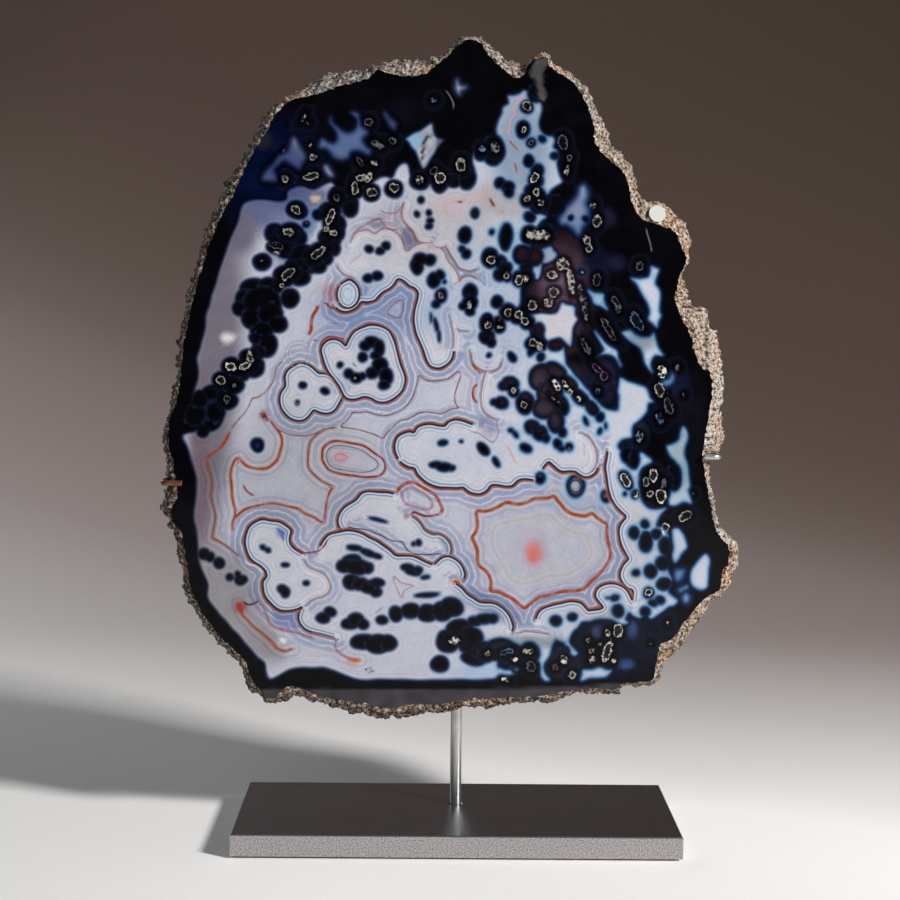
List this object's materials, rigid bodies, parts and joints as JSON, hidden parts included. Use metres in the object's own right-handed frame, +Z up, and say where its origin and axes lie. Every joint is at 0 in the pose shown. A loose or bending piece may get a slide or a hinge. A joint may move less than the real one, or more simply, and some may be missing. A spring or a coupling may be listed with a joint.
{
  "type": "polished agate slice on a stand",
  "caption": "Thick polished slice of banded eye agate with its rough rind, held upright by bent rods on a steel post and a flat bar base.",
  "frame": {"origin": "middle of the flat underside of the base, on the surface it stands on", "axes": "+Z up, -Y out of the polished front face, +X to the viewer's right"},
  "size_m": [0.3186, 0.1, 0.4358],
  "materials": {
    "agate": "polished faces, rough granular rind",
    "plate_steel": "dark satin, mill grain and light scratches",
    "felt": "black felt",
    "rod_steel": "drawn bright steel",
    "arm_copper": "copper-coated steel rod, worn",
    "paper": "matt white paper, blank"
  },
  "bodies": {
    "root": {"agate_slice": "agate", "base_plate": "plate_steel", "felt_pad": "felt", "post": "rod_steel", "arm_left": "arm_copper", "arm_right": "rod_steel", "paper_dot": "paper"}
  },
  "joints": []
}
